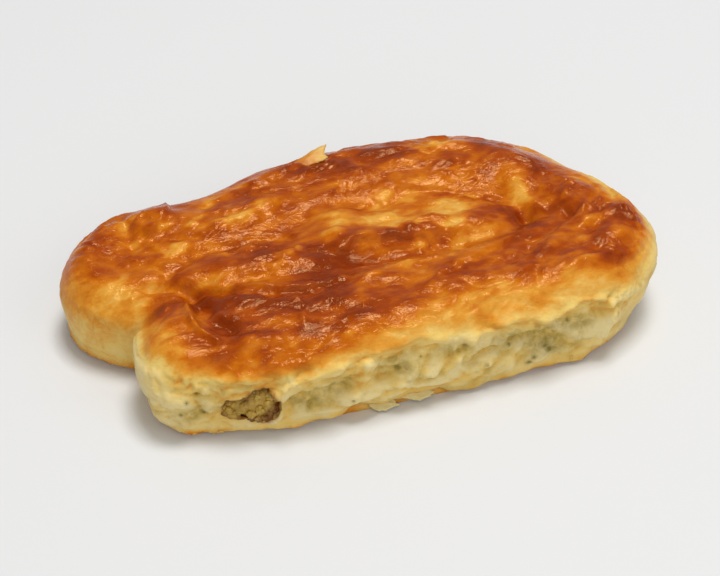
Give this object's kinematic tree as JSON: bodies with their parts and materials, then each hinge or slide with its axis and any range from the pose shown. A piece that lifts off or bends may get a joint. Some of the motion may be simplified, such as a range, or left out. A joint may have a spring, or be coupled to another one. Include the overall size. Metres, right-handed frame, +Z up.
{
  "type": "borek roll",
  "caption": "Baked borek: a rope of filled pastry coiled into a flattened oval spiral, with browned folded crust and filling showing at a torn spot low in its side.",
  "frame": {"origin": "middle of the box of the underside, on the surface that the roll rests on", "axes": "+X along the roll's length towards the end where the rope turns from the front strand to the back one, +Y towards the back strand, +Z up"},
  "size_m": [0.165, 0.0894, 0.0315],
  "materials": {
    "crust": "egg-washed baked pastry, glossy deep golden brown on top, matt and pale cream on the sides",
    "filling": "moist lumpy greenish-beige potato, cheese and herb filling with browned spots"
  },
  "bodies": {
    "root": {"pastry": "crust", "filling": "filling"}
  },
  "joints": []
}
